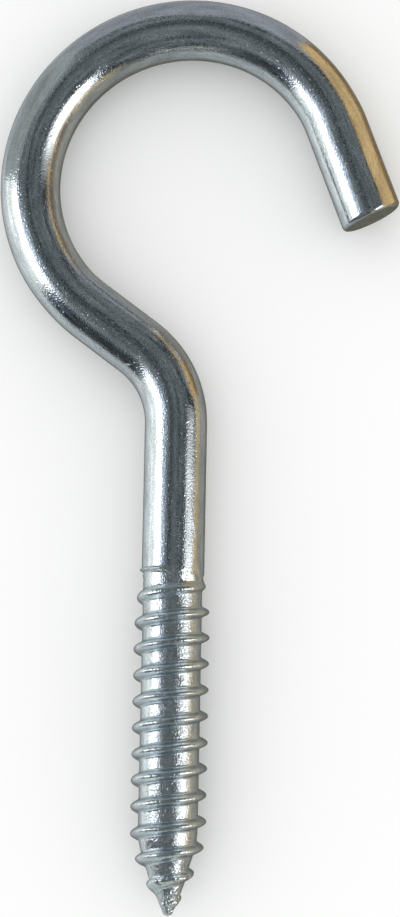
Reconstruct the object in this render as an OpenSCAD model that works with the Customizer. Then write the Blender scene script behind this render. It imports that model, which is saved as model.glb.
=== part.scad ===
// Screw hook: one length of round steel wire, bent to an open bow with a reversed neck,
// sheared off at the free end and rolled with a wood thread and a gimlet point at the other.
// The hook lies flat: the shank runs along +Y towards the bow, and the bow lies in the XY plane.
// The origin is on the shank's axis at the shoulder where the thread ends, the mouth of its hole.

/* [Wire] */
// Diameter of the straight wire
wire_d = 5.8; // [4:0.1:9]
// Radius that the wire loses where it is bent
bend_thinning = 0.02; // [0.01:0.01:0.1]

/* [Shank and neck] */
// Plain shank between the thread's shoulder and the neck bend
shank_len = 13.7; // [8:0.1:40]
// Centreline radius of the neck bend
neck_r = 9.1; // [7:0.1:20]
// Angle through which the neck bends away from the shank
neck_angle = 53.3; // [35:0.1:75]
// Straight wire between the neck bend and the bow
slope_len = 5.8; // [2:0.1:15]

/* [Bow and free end] */
// Inside diameter of the bow
bow_inside_d = 24.3; // [16:0.1:50]
// Angle between the free end and the shank, opening outwards
end_flare = 21; // [5:0.5:40]
// Straight free end from the bow to the middle of its cut
end_len = 9.2; // [5:0.1:25]
// Slant of the sheared cut, longer on the bow's inner side
cut_slant = 4.8; // [0:0.1:10]
// Width of the worn edge round the cut
cut_edge = 0.45; // [0.1:0.05:1]

/* [Thread] */
// Length from the shoulder to the tip
thread_len = 31.5; // [18:0.1:60]
// Rise of one right-hand turn
pitch = 2.4; // [1.8:0.05:3.5]
// Step in from the wire's surface to the rolled core
root_depth = 0.18; // [0.05:0.01:0.5]
// Height of the ridge above the core
ridge_height = 0.77; // [0.3:0.01:1.2]
// Width of the ridge at its foot
ridge_foot = 1.45; // [0.8:0.05:1.7]
// Width of the ridge across its rounded crest
ridge_crest = 0.44; // [0.1:0.02:0.7]
// Length over which the ridge dies away below the shoulder
runout_len = 3; // [1:0.1:8]
// Angle of the crest round the shank at the tip, from the -X side
start_angle = 30; // [0:5:355]

/* [Point] */
// Length of the tapered gimlet point
point_len = 8.5; // [4:0.1:16]
// Diameter of the blunt tip
tip_d = 0.7; // [0.3:0.05:2]
// Length over which the ridge dies away towards the tip
point_fade = 4.3; // [1:0.1:10]

/* [Hidden] */
$fn = 96;
// Facets round one turn of the thread
turn_steps = 36;

wire_r = wire_d / 2;
bow_r = bow_inside_d / 2 + wire_r;
core_r = wire_r - root_depth;
tip_r = tip_d / 2;

// Centreline of the bent wire, from the shank to the free end
neck_centre = [-neck_r, shank_len];
neck_end = neck_centre + neck_r * [cos(neck_angle), sin(neck_angle)];
slope_end = neck_end + slope_len * [-sin(neck_angle), cos(neck_angle)];
bow_centre = slope_end + bow_r * [cos(neck_angle), sin(neck_angle)];
bow_end = bow_centre + bow_r * [cos(end_flare), sin(end_flare)];
bow_sweep = 180 + neck_angle - end_flare;

// Section of the ridge: place along the axis from its crest, and share of its height
shoulder_share = 0.86;
ridge_places = [-ridge_foot / 2, -ridge_crest / 2, 0, ridge_crest / 2, ridge_foot / 2];
ridge_shares = [0, shoulder_share, 1, shoulder_share, 0];
rows = len(ridge_places);

// Whole turns, with one before the tip that is drawn together there and one inside the shank
turns = ceil(thread_len / pitch) + 2;
columns = turns * turn_steps;
lead_in = pitch + ridge_foot / 2;

// Distance from the tip, with the lead-in turn drawn together towards the tip
function eased(raw) = raw > lead_in ? raw : pow(raw + lead_in, 2) / (4 * lead_in);

// Core radius and ridge height at a distance from the tip
function core_at(s) = tip_r + (core_r - tip_r) * sin(90 * min(1, s / point_len));
function ridge_at(s) = ridge_height * max(0, min(1, s / point_fade, (thread_len - s) / runout_len));

// Point of the thread's surface at a column round the helix and a row across the ridge
function thread_angle(i) = 360 * i / turn_steps - start_angle;
function thread_place(i, k) = eased(pitch * (i / turn_steps - 1) + ridge_places[k]);
function around(angle, r, s) = [-r * cos(angle), s - thread_len, r * sin(angle)];
function thread_point(i, k) =
    let (s = thread_place(i, k))
    around(thread_angle(i), core_at(s) + ridge_at(s) * ridge_shares[k], s);

// Straight wire from the origin along +Y
module straight(length) {
    rotate([-90, 0, 0])
        cylinder(r = wire_r, h = length);
}

// Bent wire about the origin, counter-clockwise, with both ends seated in the straight wire.
// A seat is so short that the bend, being thinner, stays inside the straight there.
module bend(radius, from, sweep) {
    seat = sqrt(bend_thinning / radius) * 180 / PI;
    rotate_extrude(angle = sweep + 2 * seat, start = from - seat)
        translate([radius, 0])
            circle(r = wire_r - bend_thinning);
}

// Straight free end along +Y, sheared off at a slant with a worn edge
module free_end() {
    reach = end_len + wire_d;
    intersection() {
        straight(reach);
        translate([0, end_len, 0])
            rotate([90, 0, cut_slant])
                rotate_extrude()
                    polygon([
                        [0, 0],
                        [wire_r - cut_edge, 0],
                        [wire_r - cut_edge + wire_d, wire_d],
                        [wire_r - cut_edge + wire_d, wire_d + reach],
                        [0, wire_d + reach]
                    ]);
    }
}

// Rolled core, ridge and gimlet point, running up inside the shank
module rolled_thread() {
    first_inside = columns - turn_steps;
    function id(i, k) = i * rows + k;
    tip_id = (columns + 1) * rows;
    top_id = tip_id + 1;
    points = concat(
        [for (i = [0:columns], k = [0:rows - 1]) thread_point(i, k)],
        [around(0, 0, 0), around(0, 0, eased(pitch * (turns - 1)))]
    );
    ridge = [
        for (i = [0:columns - 1], k = [0:rows - 2])
            each [
                [id(i, k), id(i, k + 1), id(i + 1, k)],
                [id(i + 1, k), id(i, k + 1), id(i + 1, k + 1)]
            ]
    ];
    root = [
        for (i = [0:first_inside - 1])
            each [
                [id(i, rows - 1), id(i + turn_steps, 0), id(i + 1, rows - 1)],
                [id(i + 1, rows - 1), id(i + turn_steps, 0), id(i + 1 + turn_steps, 0)]
            ]
    ];
    tip_loop = concat(
        [for (i = [0:turn_steps]) id(i, 0)],
        [for (k = [rows - 1:-1:1]) id(0, k)]
    );
    top_loop = concat(
        [for (i = [first_inside:columns]) id(i, rows - 1)],
        [for (k = [rows - 2:-1:0]) id(columns, k)]
    );
    tip_fan = [
        for (j = [0:len(tip_loop) - 1])
            [tip_id, tip_loop[j], tip_loop[(j + 1) % len(tip_loop)]]
    ];
    top_fan = [
        for (j = [0:len(top_loop) - 1])
            [top_id, top_loop[(j + 1) % len(top_loop)], top_loop[j]]
    ];
    polyhedron(points, concat(ridge, root, tip_fan, top_fan));
}

module screw_hook() {
    color([0.66, 0.69, 0.71]) {
        rolled_thread();
        straight(shank_len);
        translate(neck_centre)
            bend(neck_r, 0, neck_angle);
        translate(neck_end)
            rotate([0, 0, neck_angle])
                straight(slope_len);
        translate(bow_centre)
            bend(bow_r, end_flare, bow_sweep);
        translate(bow_end)
            rotate([0, 0, 180 + end_flare])
                free_end();
    }
}

screw_hook();
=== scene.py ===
import math

import bmesh
import bpy
from mathutils import Matrix, Vector, noise


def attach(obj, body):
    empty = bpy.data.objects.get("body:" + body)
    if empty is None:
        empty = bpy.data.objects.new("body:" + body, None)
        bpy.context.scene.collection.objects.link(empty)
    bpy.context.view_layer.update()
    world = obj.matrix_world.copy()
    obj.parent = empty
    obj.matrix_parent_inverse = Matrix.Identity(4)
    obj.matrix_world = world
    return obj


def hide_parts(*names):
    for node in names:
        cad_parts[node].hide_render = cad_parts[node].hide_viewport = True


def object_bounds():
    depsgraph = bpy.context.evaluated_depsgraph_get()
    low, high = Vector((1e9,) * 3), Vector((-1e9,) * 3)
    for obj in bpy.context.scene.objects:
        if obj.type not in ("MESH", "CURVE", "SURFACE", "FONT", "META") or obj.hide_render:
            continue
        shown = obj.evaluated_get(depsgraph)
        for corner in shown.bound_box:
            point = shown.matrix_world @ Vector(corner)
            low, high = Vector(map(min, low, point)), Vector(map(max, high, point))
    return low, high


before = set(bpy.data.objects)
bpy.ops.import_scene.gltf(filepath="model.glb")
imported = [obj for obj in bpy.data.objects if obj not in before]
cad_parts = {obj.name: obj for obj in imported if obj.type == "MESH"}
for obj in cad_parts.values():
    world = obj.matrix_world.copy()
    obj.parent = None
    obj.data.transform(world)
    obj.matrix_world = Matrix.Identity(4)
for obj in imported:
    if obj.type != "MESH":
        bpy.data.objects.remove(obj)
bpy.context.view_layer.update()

# Screw hook: one length of drawn steel wire, bright zinc plated. A right-hand wood thread and a
# gimlet point are rolled onto one end, the other end is sheared off, and the wire is bent cold.
# The mesh is made in the same order, in millimetres: straight rod along +Y, thread, cut, bends.
wire_r = 2.9
thread_len = 31.5
shank_len = 13.7
neck_r = 9.1
neck_turn = math.radians(53.3)
slope_len = 5.8
bow_r = 15.05
bow_turn = math.radians(212.3)
end_len = 9.2

# Length of the straight rod at which each form begins, counted from the thread's shoulder
neck_from = shank_len
slope_from = neck_from + neck_r * neck_turn
bow_from = slope_from + slope_len
end_from = bow_from + bow_r * bow_turn
rod_len = end_from + end_len

# Fineness of the mesh round the wire and along it. The thread's fine rings run on past its
# shoulder.
ring_sides = 96
thread_step = 0.08
wire_step = 0.5
shoulder_margin = 0.72

rod = bmesh.new()
lay_along_y = Matrix.Rotation(math.radians(90), 4, "X")
at_tip = Matrix.Translation((0, -thread_len, 0))
bmesh.ops.create_circle(
    rod, cap_ends=False, segments=ring_sides, radius=wire_r, matrix=at_tip @ lay_along_y
)
tip_ring = rod.edges[:]


def draw_out(ring, length, step):
    """Draws an open ring of edges out along +Y, in rings about a step apart, and gives the last."""
    made = bmesh.ops.extrude_edge_only(rod, edges=ring)["geom"]
    ends = [part for part in made if isinstance(part, bmesh.types.BMVert)]
    last = [part for part in made if isinstance(part, bmesh.types.BMEdge)]
    bmesh.ops.translate(rod, verts=ends, vec=(0, length, 0))
    sides = [side for end in ends for side in end.link_edges if side not in last]
    bmesh.ops.subdivide_edges(rod, edges=sides, cuts=round(length / step) - 1)
    return last


shoulder_ring = draw_out(tip_ring, thread_len + shoulder_margin, thread_step)
cut_ring = draw_out(shoulder_ring, rod_len - shoulder_margin, wire_step)

# Rolled thread: core, full rounded ridge, run-out under the shank's shoulder and gimlet point
core_r = 2.735
pitch = 2.4
crest_from_tip = 0.115
ridge_height = 0.755
ridge_fullness = 2.2
fillet_from = 0.94
fillet_to = 1.25
runout_from = 25.0
runout_len = 6.2
runout_power = 3
# The dies leave the ridge wider on the -X side: half widths of its foot, and how much they sway
upper_foot = 0.571
upper_foot_sway = 0.076
lower_foot = 0.534
lower_foot_sway = 0.039
# Radius of the gimlet point's core at distances from its blunt tip
point_core = [
    (0.0, 0.02), (0.05, 0.24), (0.15, 0.37), (0.3, 0.46), (0.53, 0.54), (0.7, 0.61), (0.9, 0.69),
    (1.4, 0.86), (2.0, 1.15), (2.7, 1.44), (3.4, 1.69), (4.0, 1.87), (5.0, 2.2), (6.0, 2.5),
    (6.8, 2.66), (8.0, core_r),
]
point_lean = 0.14
point_lean_reach = 5.0
# On the point the ridge starts low, and rises to its full height in the third turn
ridge_from = 0.6
ridge_start_len = 0.6
ridge_start_share = 0.05
ridge_rise_per_mm = 0.21
# Unevenness of a rolled thread, and of its point, which the dies only hammer into shape. Each wave
# has its size, its number in a millimetre and, for the crest, a start of its own.
core_wave = (0.012, 0.9)
crest_wander = (0.06, 0.35, Vector((7, 3, 1)))
height_wave = (0.05, 0.6)
hammer_reach = 6.0
hammer_fade = 4.0
hammer_core_wave = (0.1, 2.9)
hammer_height_wave = (0.2, 1.7)
# Shoulder where the plain shank starts: the dies pushed up a thin lip on one side and left a torn
# edge on the other. Both fade in by the cosine of the angle from the middle of the lip.
shoulder_at = 31.46
shoulder_rise = 0.3
lip_turn = 0.03
lip_from = 0.1
lip_full = 0.5
lip_height = 0.24
lip_half_width = 0.26
lip_wave = (0.7, 1.5)
torn_from = 0.4
torn_full = -0.2
torn_dip = 0.7
torn_dip_wave = (0.3, 1.3)
torn_rise = 1.2
torn_reach = 0.8
torn_wave = (0.09, 2.4)


def eased(value):
    """Share between 0 and 1 that starts and ends level."""
    value = min(1.0, max(0.0, value))
    return value * value * (3 - 2 * value)


def core_at(from_tip):
    """Radius of the core at a distance from the tip, straight between the stations of the point."""
    if from_tip >= point_core[-1][0]:
        return core_r
    for (near, near_r), (far, far_r) in zip(point_core, point_core[1:]):
        if from_tip <= far:
            return near_r + (far_r - near_r) * (from_tip - near) / (far - near)


def wave(spot, size, per_mm, start=Vector((0, 0, 0))):
    """Smooth unevenness of a given size at a spot on the rod."""
    return size * noise.noise(spot * per_mm + start)


def ridge_at(from_tip, turn, spot):
    """Height of the ridge over the core, at a share of a turn counted from the -X side."""
    turns_up = (from_tip - crest_from_tip + wave(spot, *crest_wander)) / pitch - turn
    above_crest = (turns_up - round(turns_up)) * pitch
    sway = math.cos(2 * math.pi * turn)
    if above_crest > 0:
        foot = upper_foot + upper_foot_sway * sway
    else:
        foot = lower_foot + lower_foot_sway * sway
    out = abs(above_crest) / foot
    section = 1 - min(out, fillet_from) ** ridge_fullness
    if out > fillet_from:
        section *= (max(0.0, fillet_to - out) / (fillet_to - fillet_from)) ** 2
    dies_up = 1 - max(0.0, (from_tip - runout_from) / runout_len) ** runout_power
    starts = eased((from_tip - ridge_from) / ridge_start_len)
    starts *= ridge_start_share + ridge_rise_per_mm * from_tip
    return ridge_height * max(0.0, min(1.0, dies_up, starts)) * section


def rolled_radius(from_tip, turn, spot):
    """Radius that the rolling dies leave, at a share of a turn counted from the -X side."""
    hammered = eased((hammer_reach - from_tip) / hammer_fade)
    core = core_at(from_tip) + wave(spot, *core_wave)
    core += hammered * min(1.0, from_tip) * wave(spot, *hammer_core_wave)
    ridge = ridge_at(from_tip, turn, spot)
    ridge *= 1 + wave(spot, *height_wave) + hammered * wave(spot, *hammer_height_wave)

    lip_side = math.cos(2 * math.pi * (turn - lip_turn))
    torn_side = eased((torn_from - lip_side) / (torn_from - torn_full))
    shoulder = shoulder_at - torn_side * (torn_dip - wave(spot, *torn_dip_wave))
    rise = eased((from_tip - shoulder) / (shoulder_rise + torn_rise * torn_side) + 0.5)
    from_lip = (from_tip - shoulder_at) / lip_half_width
    lip = lip_height * eased((lip_side - lip_from) / (lip_full - lip_from))
    lip *= max(0.0, 1 - from_lip * from_lip) ** 2 * (1 + wave(spot, *lip_wave))
    from_tear = (from_tip - shoulder) / torn_reach
    torn = torn_side * max(0.0, 1 - from_tear * from_tear) * wave(spot, *torn_wave)
    return core + (wire_r - core) * rise + ridge * (1 - rise) + lip + torn


for vert in rod.verts:
    from_tip = vert.co.y + thread_len
    if from_tip <= thread_len + shoulder_margin:
        turn = math.atan2(vert.co.z, -vert.co.x) / (2 * math.pi)
        wide = rolled_radius(from_tip, turn, vert.co) / wire_r
        vert.co.x = vert.co.x * wide + point_lean * eased(1 - from_tip / point_lean_reach)
        vert.co.z *= wide
tip = list(dict.fromkeys(vert for edge in tip_ring for vert in edge.verts))
bmesh.ops.pointmerge(rod, verts=tip, merge_co=(point_lean, -thread_len, 0))

# Sheared free end: a slanted cut, longest on the bow's inner side and on top, with a worn rim
# and a low crown
cut_slant = math.tan(math.radians(4.8))
cut_lean = math.tan(math.radians(2.5))
cut_beyond = 0.12
cut_reach = 6.0
rim_wear = 0.42
rim_steps = 6
cut_crown = 0.1
crown_rings = (0.35, 0.75, 0.9)
for vert in rod.verts:
    near_cut = eased((vert.co.y - rod_len + cut_reach) / cut_reach)
    vert.co.y += (cut_slant * vert.co.x + cut_lean * vert.co.z + cut_beyond) * near_cut
bmesh.ops.contextual_create(rod, geom=cut_ring)
bmesh.ops.bevel(
    rod, geom=cut_ring, offset=rim_wear, offset_type="OFFSET", affect="EDGES", segments=rim_steps,
    profile=0.5, material=-1,
)
flat = max(rod.faces, key=lambda face: len(face.verts))
ring_rise = cut_crown / len(crown_rings)
for ring_width in crown_rings:
    bmesh.ops.inset_region(rod, faces=[flat], thickness=ring_width, depth=ring_rise)
bmesh.ops.poke(rod, faces=[flat])

# The rod's own straight coordinates stay on the mesh, so that the finish follows the bent wire
MM = 0.001
along_wire = rod.verts.layers.float_vector.new("along_wire")
for vert in rod.verts:
    vert[along_wire] = vert.co * MM

# Cold bends: the neck turns one way and the bow the other, and the bow's wire is drawn a little
# narrow
bend_narrowing = 0.025
bend_ease = 3.0
weld_within = 1e-5
neck_centre = Vector((-neck_r, shank_len, 0))


def across(turned):
    """Direction across the wire, in the hook's plane, once the wire has turned by an angle."""
    return Vector((math.cos(turned), math.sin(turned), 0))


def along(turned):
    """Direction along the wire once it has turned by an angle."""
    return Vector((-math.sin(turned), math.cos(turned), 0))


neck_end = neck_centre + neck_r * across(neck_turn)
slope_end = neck_end + slope_len * along(neck_turn)
bow_centre = slope_end + bow_r * across(neck_turn)
end_turn = neck_turn - bow_turn
bow_end = bow_centre - bow_r * across(end_turn)

for vert in rod.verts:
    place = vert.co.y
    if place > end_from:
        turned = end_turn
        middle = bow_end + (place - end_from) * along(turned)
    elif place > bow_from:
        turned = neck_turn - (place - bow_from) / bow_r
        middle = bow_centre - bow_r * across(turned)
    elif place > slope_from:
        turned = neck_turn
        middle = neck_end + (place - slope_from) * along(turned)
    elif place > neck_from:
        turned = (place - neck_from) / neck_r
        middle = neck_centre + neck_r * across(turned)
    else:
        turned = 0.0
        middle = Vector((0, place, 0))
    bent = eased((place - bow_from) / bend_ease) * eased((end_from - place) / bend_ease)
    side = vert.co.x * (1 - bend_narrowing * bent)
    vert.co = middle + side * across(turned) + Vector((0, 0, vert.co.z))

bmesh.ops.remove_doubles(rod, verts=rod.verts, dist=weld_within)
bmesh.ops.recalc_face_normals(rod, faces=rod.faces)
bmesh.ops.scale(rod, vec=(MM, MM, MM), verts=rod.verts)
for face in rod.faces:
    face.smooth = True
hook_mesh = bpy.data.meshes.new("hook")
rod.to_mesh(hook_mesh)
rod.free()
hook = bpy.data.objects.new("hook", hook_mesh)
bpy.context.scene.collection.objects.link(hook)


def linear(hex_colour):
    """Linear RGBA of an sRGB hex colour."""
    parts = [int(hex_colour[i:i + 2], 16) / 255 for i in (1, 3, 5)]
    return [c / 12.92 if c <= 0.04045 else ((c + 0.055) / 1.055) ** 2.4 for c in parts] + [1.0]


def add(tree, kind, inputs=None, stops=(), **settings):
    """Adds a node with its settings; an input that is given a socket is linked to it."""
    made = tree.nodes.new(kind)
    for name, value in settings.items():
        setattr(made, name, value)
    for name, value in (inputs or {}).items():
        if isinstance(value, bpy.types.NodeSocket):
            tree.links.new(value, made.inputs[name])
        else:
            made.inputs[name].default_value = value
    for place, colour in stops:
        made.color_ramp.elements.new(place).color = linear(colour)
    if stops:
        made.color_ramp.elements.remove(made.color_ramp.elements[0])
        made.color_ramp.elements.remove(made.color_ramp.elements[-1])
    return made


# Bright zinc plating on drawn steel wire: a mirror-like, faintly blue metal, broken up by fine
# grain and by marks along the wire from drawing, so that reflections end in a speckled edge.
zinc = bpy.data.materials.new("zinc_plated_steel")
zinc.use_nodes = True
tree = zinc.node_tree
tree.nodes.clear()
wire_place = add(tree, "ShaderNodeAttribute", attribute_name="along_wire").outputs["Vector"]

# Each pattern has its size on the wire and the share to which it is drawn out along it. The real
# grain is finer than a pixel, so it is drawn as coarse as it needs to be to show.
patterns = {}
for name, kind, size_mm, along_share, settings in (
    ("grain", "ShaderNodeTexNoise", 0.13, 0.8, {"Detail": 1.0, "Roughness": 0.5}),
    ("pits", "ShaderNodeTexVoronoi", 0.35, 0.6, {"Randomness": 1.0}),
    ("draw marks", "ShaderNodeTexNoise", 0.16, 0.05, {"Detail": 2.0, "Roughness": 0.55}),
    ("mottle", "ShaderNodeTexNoise", 0.9, 0.25, {"Detail": 4.0, "Roughness": 0.65}),
):
    drawn_out = add(tree, "ShaderNodeMapping", {
        "Vector": wire_place, "Scale": (1, along_share, 1),
    }).outputs["Vector"]
    patterns[name] = add(tree, kind, {
        "Vector": drawn_out, "Scale": 1 / (size_mm * MM), **settings,
    }).outputs[0]
grain = patterns["grain"]
mottle = patterns["mottle"]
pits = add(tree, "ShaderNodeMapRange", {
    "Value": patterns["pits"], "From Min": 0.0, "From Max": 0.25,
}, interpolation_type="SMOOTHSTEP").outputs["Result"]

# Handling marks, each at a place on the straight rod with its tilt and half sizes: a long fine
# scratch down the shank, a short nick below the neck and a crease on the inside of the neck
marks = None
for place_mm, tilt, half_sizes_mm in (
    ((2.01, 4.54, 2.09), (0, 42.8, 15.2), (0.09, 2.4, 2.4)),
    ((1.36, 13.6, 2.56), (0, 15.6, -58.2), (0.1, 0.34, 0.34)),
    ((-2.1, 21.5, 2.0), (0, -33, 46.8), (0.12, 1.1, 1.1)),
):
    near = add(tree, "ShaderNodeMapping", {
        "Vector": wire_place, "Location": Vector(place_mm) * MM,
        "Rotation": [math.radians(angle) for angle in tilt], "Scale": Vector(half_sizes_mm) * MM,
    }, vector_type="TEXTURE").outputs["Vector"]
    away = add(tree, "ShaderNodeVectorMath", {0: near}, operation="LENGTH").outputs["Value"]
    mark = add(tree, "ShaderNodeMapRange", {
        "Value": away, "From Min": 1.0, "From Max": 0.2,
    }, interpolation_type="SMOOTHSTEP").outputs["Result"]
    if marks:
        mark = add(tree, "ShaderNodeMath", {0: marks, 1: mark}, operation="MAXIMUM").outputs[0]
    marks = mark

# The dies roughen the thread: its grain is stronger, and the marks of drawing are rolled away
grain_on_wire = 0.34
thread_roughness = 0.02
from_shoulder = add(tree, "ShaderNodeSeparateXYZ", {"Vector": wire_place}).outputs["Y"]
plain_wire = add(tree, "ShaderNodeMapRange", {
    "Value": from_shoulder, "From Min": -0.8 * MM, "From Max": 0.2 * MM,
}).outputs["Result"]
grain_strength = add(tree, "ShaderNodeMapRange", {
    "Value": plain_wire, "To Min": 1.0, "To Max": grain_on_wire,
}).outputs["Result"]
rolled_roughness = add(tree, "ShaderNodeMapRange", {
    "Value": plain_wire, "To Min": thread_roughness, "To Max": 0.0,
}).outputs["Result"]

# Relief of the surface: height in millimetres and strength of each pattern
relief = None
for height, height_mm, strength in (
    (patterns["draw marks"], 0.007, plain_wire), (pits, 0.016, 1.0),
    (grain, 0.042, grain_strength), (marks, 0.018, 1.0),
):
    bump = add(tree, "ShaderNodeBump", {
        "Height": height, "Strength": strength, "Distance": height_mm * MM,
    })
    if relief:
        tree.links.new(relief, bump.inputs["Normal"])
    relief = bump.outputs["Normal"]

# Tint: grain about its middle value on top of the broader mottle
grain_in_tint = 0.4
speckle = add(tree, "ShaderNodeMath", {
    0: grain, 1: grain_in_tint, 2: mottle,
}, operation="MULTIPLY_ADD").outputs[0]
speckle = add(tree, "ShaderNodeMath", {
    0: speckle, 1: 0.5 * grain_in_tint,
}, operation="SUBTRACT").outputs[0]
tint = add(tree, "ShaderNodeValToRGB", {
    "Fac": speckle,
}, stops=((0.3, "#b6bbbe"), (0.64, "#dee4e7"))).outputs["Color"]

# Blue passivation stays on the flanks of the ridges, where nothing rubs it off, most of all on the
# hook's two flat sides. The paler tint there is also a painted reflection: flanks that face along the
# thread and up or down are made lighter and bluer.
facing = add(tree, "ShaderNodeTexCoord").outputs["Normal"]
facing = add(tree, "ShaderNodeVectorMath", {0: facing}, operation="ABSOLUTE").outputs["Vector"]
facing = add(tree, "ShaderNodeSeparateXYZ", {"Vector": facing}).outputs
blue_and_painted_sheen = add(tree, "ShaderNodeMath", {0: 1.0, 1: plain_wire}, operation="SUBTRACT").outputs[0]
for way, starts_at, full_at in (("Y", 0.25, 0.75), ("Z", 0.3, 0.55)):
    share = add(tree, "ShaderNodeMapRange", {
        "Value": facing[way], "From Min": starts_at, "From Max": full_at,
    }).outputs["Result"]
    blue_and_painted_sheen = add(tree, "ShaderNodeMath", {0: blue_and_painted_sheen, 1: share}, operation="MULTIPLY").outputs[0]
# Painted reflection and passivation: the pale blue mixed in on flanks facing along the thread and up
# or down
tint = add(tree, "ShaderNodeMix", {
    0: blue_and_painted_sheen, 6: tint, 7: linear("#e8f3f8"),
}, data_type="RGBA").outputs[2]

# Roughness: it varies with the mottle, and is higher on the thread and in the handling marks
mark_roughness = 0.12
wire_roughness = add(tree, "ShaderNodeMapRange", {
    "Value": mottle, "From Min": 0.3, "From Max": 0.7, "To Min": 0.13, "To Max": 0.07,
}).outputs["Result"]
roughness = add(tree, "ShaderNodeMath", {
    0: wire_roughness, 1: rolled_roughness,
}, operation="ADD").outputs[0]
roughness = add(tree, "ShaderNodeMath", {
    0: marks, 1: mark_roughness, 2: roughness,
}, operation="MULTIPLY_ADD").outputs[0]
surface = add(tree, "ShaderNodeBsdfPrincipled", {
    "Base Color": tint, "Metallic": 1.0, "Roughness": roughness, "Normal": relief,
})
add(tree, "ShaderNodeOutputMaterial", {"Surface": surface.outputs["BSDF"]})

hook.data.materials.append(zinc)
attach(hook, "root")
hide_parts("screw_hook")

# Floor: a plain matt sheet of pale studio paper, flat under the lowest ridge of the thread.
# It is one large disc, so that it runs out of sight in every view.
floor_r = 6.0
floor_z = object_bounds()[0][2]
disc = bmesh.new()
bmesh.ops.create_circle(
    disc, cap_ends=True, segments=64, radius=floor_r, matrix=Matrix.Translation((0, 0, floor_z))
)
floor_mesh = bpy.data.meshes.new("floor")
disc.to_mesh(floor_mesh)
disc.free()
floor = bpy.data.objects.new("floor", floor_mesh)
bpy.context.scene.collection.objects.link(floor)
paper = bpy.data.materials.new("matt_paper")
paper.use_nodes = True
paper_surface = paper.node_tree.nodes["Principled BSDF"]
paper_surface.inputs["Base Color"].default_value = linear("#f4f4f3")
paper_surface.inputs["Roughness"].default_value = 0.9
paper_surface.inputs["Specular IOR Level"].default_value = 0.1
floor.data.materials.append(paper)
floor.visible_glossy = False

# Studio light: softboxes on either side, the right ones fading out in steps. Pale cards stand
# beyond the bow and in front of the tip, and warm ones beside the free end and the shank.
# Boxes and cards show only in the metal. The paper is lit evenly by the room's pale walls.


def softbox(name, middle, facing, wide, high, lean, radiance, colour):
    """Area light of a given radiance that lights only the metal, leaning sideways by an angle."""
    lamp = bpy.data.lights.new(name, "AREA")
    lamp.shape = "RECTANGLE"
    lamp.size = wide * MM
    lamp.size_y = high * MM
    lamp.energy = radiance * math.pi * lamp.size * lamp.size_y
    lamp.color = linear(colour)[:3]
    box = bpy.data.objects.new(name, lamp)
    box.location = Vector(middle) * MM
    upright = Vector(facing).to_track_quat("-Z", "Y").to_matrix()
    box.rotation_euler = (upright @ Matrix.Rotation(math.radians(lean), 3, "Z")).to_euler()
    box.visible_camera = False
    box.visible_diffuse = False
    bpy.context.scene.collection.objects.link(box)


softbox("left_softbox", (-200, 21, 143), (1, 0, 0), 140, 116, 0, 2.8, "#ffffff")
softbox("left_top_softbox", (-200, 42, 273), (1, 0, 0), 36, 200, 32.5, 1.2, "#dfe9ff")
softbox("left_near_softbox", (-200, -30, 232), (1, 0, 0), 24, 62, 0, 1.0, "#f4f8ff")
softbox("left_low_softbox", (-200, 18, 38), (1, 0, 0), 150, 92, 0, 0.95, "#fbfff6")
softbox("left_glow", (-205, 13, 150), (1, 0, 0), 170, 270, 32, 0.12, "#b4caff")
softbox("right_softbox", (400, -170, 236), (-1, 0, 0), 320, 252, 0, 3.0, "#ffffff")
softbox("right_middle_softbox", (400, 19, 236), (-1, 0, 0), 58, 252, 0, 1.4, "#ffffff")
softbox("right_edge_softbox", (400, 61, 236), (-1, 0, 0), 26, 252, 0, 0.9, "#ffffff")
softbox("right_far_softbox", (400, 104, 236), (-1, 0, 0), 60, 252, 0, 0.4, "#ffffff")
softbox("right_low_softbox", (400, -142, 72), (-1, 0, 0), 376, 76, 0, 1.2, "#fffdf6")


def card(name, middle, facing, wide, high, radiance, colour):
    """Upright card that shows only in the metal's reflections."""
    sheet = bmesh.new()
    bmesh.ops.create_grid(sheet, x_segments=1, y_segments=1, size=0.5 * MM)
    bmesh.ops.scale(sheet, vec=(wide, high, 1), verts=sheet.verts)
    upright = Vector(facing).to_track_quat("Z", "Y").to_matrix().to_4x4()
    stands = Matrix.Translation(Vector(middle) * MM) @ upright
    bmesh.ops.transform(sheet, matrix=stands, verts=sheet.verts)
    mesh = bpy.data.meshes.new(name)
    sheet.to_mesh(mesh)
    sheet.free()
    board = bpy.data.objects.new(name, mesh)
    bpy.context.scene.collection.objects.link(board)
    glow = bpy.data.materials.new(name)
    glow.use_nodes = True
    glow.node_tree.nodes.clear()
    light = add(glow.node_tree, "ShaderNodeEmission", {"Color": linear(colour), "Strength": radiance})
    add(glow.node_tree, "ShaderNodeOutputMaterial", {"Surface": light.outputs["Emission"]})
    mesh.materials.append(glow)
    board.visible_camera = False
    board.visible_diffuse = False
    board.visible_shadow = False


card("back_card", (1, 64, 1), (0, -1, 0), 44, 24, 0.40, "#f2f6ff")
card("back_left_card", (-33.5, 54, 11.5), (0.62, -0.78, 0), 32, 43, 0.42, "#eef6f6")
card("front_card", (0.5, -46, 1), (0, 1, 0), 50, 9, 0.55, "#f6faee")
card("front_left_card", (-20, -50, 6.5), (0.65, 0.76, 0), 28, 20, 0.7, "#eef3ee")
card("warm_end_card", (24.6, 48.2, 3), (-0.934, -0.358, 0), 41, 12, 0.75, "#ffd99c")
card("warm_foot_card", (24.6, 48.2, -8), (-0.934, -0.358, 0), 41, 10, 0.28, "#ffd098")
card("warm_low_card", (60, 35, -3), (-1, 0, 0), 190, 21, 0.66, "#ffe4b4")

# Room: pale walls for the camera and the paper. The metal sees a room of its own, with the paper
# below the horizon and dim clutter above it, which breaks up the dark bands of the reflections.
room = bpy.data.worlds.new("studio")
room.use_nodes = True
bpy.context.scene.world = room
tree = room.node_tree
tree.nodes.clear()
towards = add(tree, "ShaderNodeTexCoord").outputs["Generated"]
sides = add(tree, "ShaderNodeSeparateXYZ", {"Vector": towards}).outputs

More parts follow.
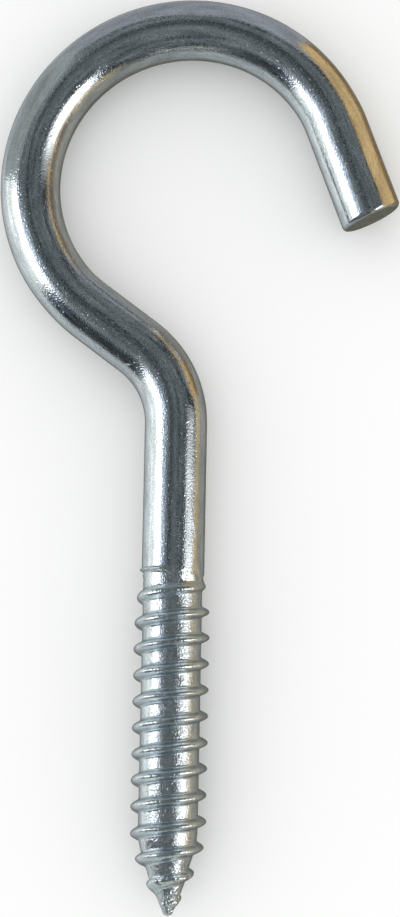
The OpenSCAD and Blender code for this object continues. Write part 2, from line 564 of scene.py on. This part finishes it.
# The paper as the metal sees it: bright on the left, grey elsewhere and dark right below
to_right = add(tree, "ShaderNodeMapRange", {
    "Value": sides["X"], "From Min": -1.0, "From Max": 1.0,
}).outputs["Result"]
ground = add(tree, "ShaderNodeValToRGB", {"Fac": to_right}, stops=(
    (0.01, "#fbfdfd"), (0.08, "#d6dcdd"), (0.16, "#bbc2c5"), (0.36, "#a9afb1"), (0.7, "#949590"),
    (0.95, "#a5a49c"),
))
straight_down = add(tree, "ShaderNodeMapRange", {
    "Value": sides["Z"], "From Min": -0.75, "From Max": -0.97,
}).outputs["Result"]
ground = add(tree, "ShaderNodeMix", {
    0: straight_down, 6: ground.outputs["Color"], 7: linear("#6c6a5f"),
}, data_type="RGBA").outputs[2]

# The clutter: a little lighter overhead, with dark patches straight above and at the front left
clutter = add(tree, "ShaderNodeTexNoise", {
    "Vector": towards, "Scale": 8.0, "Detail": 1.0, "Roughness": 0.5,
}).outputs["Fac"]
clutter = add(tree, "ShaderNodeMath", {
    0: sides["Z"], 1: 0.1, 2: clutter,
}, operation="MULTIPLY_ADD").outputs[0]
clutter = add(tree, "ShaderNodeMapRange", {
    "Value": clutter, "From Min": 0.48, "From Max": 0.71,
}).outputs["Result"]
ceiling = add(tree, "ShaderNodeMix", {
    0: clutter, 6: linear("#292e30"), 7: linear("#979fa2"),
}, data_type="RGBA").outputs[2]
brightness = None
for dark_way, dark_reach, fades_by, darkest in (
    ((0, 0.12, 0.99), 0.04, 0.2, 0.5), ((-0.7, -0.61, 0.37), 0.12, 0.36, 0.35),
):
    aside = add(tree, "ShaderNodeVectorMath", {
        0: towards, 1: dark_way,
    }, operation="DISTANCE").outputs["Value"]
    share = add(tree, "ShaderNodeMapRange", {
        "Value": aside, "From Min": dark_reach, "From Max": fades_by,
        "To Min": darkest, "To Max": 1.0,
    }).outputs["Result"]
    if brightness:
        share = add(tree, "ShaderNodeMath", {
            0: brightness, 1: share,
        }, operation="MULTIPLY").outputs[0]
    brightness = share

# The horizon, which lies lower in front of the tip
dim_ground = add(tree, "ShaderNodeMapRange", {
    "Value": sides["Y"], "From Min": -1.0, "From Max": 0.0, "To Min": 0.2, "To Max": 0.0,
}).outputs["Result"]
above = add(tree, "ShaderNodeMath", {0: sides["Z"], 1: dim_ground}, operation="ADD").outputs[0]
above = add(tree, "ShaderNodeMapRange", {
    "Value": above, "From Min": -0.01, "From Max": 0.02,
}).outputs["Result"]
seen_in_metal = add(tree, "ShaderNodeMix", {
    0: above, 6: ground, 7: ceiling,
}, data_type="RGBA").outputs[2]
in_metal = add(tree, "ShaderNodeLightPath").outputs["Is Glossy Ray"]
pale = add(tree, "ShaderNodeBackground", {"Color": linear("#fbfcfc"), "Strength": 1.14})
dim = add(tree, "ShaderNodeBackground", {"Color": seen_in_metal, "Strength": brightness})
walls = add(tree, "ShaderNodeMixShader", {
    0: in_metal, 1: pale.outputs["Background"], 2: dim.outputs["Background"],
})
add(tree, "ShaderNodeOutputWorld", {"Surface": walls.outputs["Shader"]})
bpy.context.scene.view_settings.view_transform = "Standard"

# Camera: above the lying hook, a little towards the tip and the right, as the photograph was taken.
# The lens follows from the frame's height and from how many pixels a small angle takes up.
frame_high_px = 917
px_per_radian = 2500
looks_at = Vector((2.311, 10.5, 0)) * MM
towards_camera = Vector((0.09766, -0.12741, 0.98703)).normalized()
camera_far = 232.7 * MM
camera_roll = math.radians(1.09)
right = Vector((0, 1, 0)).cross(towards_camera).normalized()
up = towards_camera.cross(right)
turned = Matrix((right, up, towards_camera)).transposed() @ Matrix.Rotation(camera_roll, 3, "Z")
lens = bpy.data.cameras.new("camera")
lens.sensor_width = 36
lens.lens = lens.sensor_width * px_per_radian / frame_high_px
lens.clip_start = 0.01
lens.clip_end = 20
camera = bpy.data.objects.new("camera", lens)
camera.matrix_world = Matrix.Translation(looks_at + camera_far * towards_camera) @ turned.to_4x4()
bpy.context.scene.collection.objects.link(camera)
bpy.context.scene.camera = camera
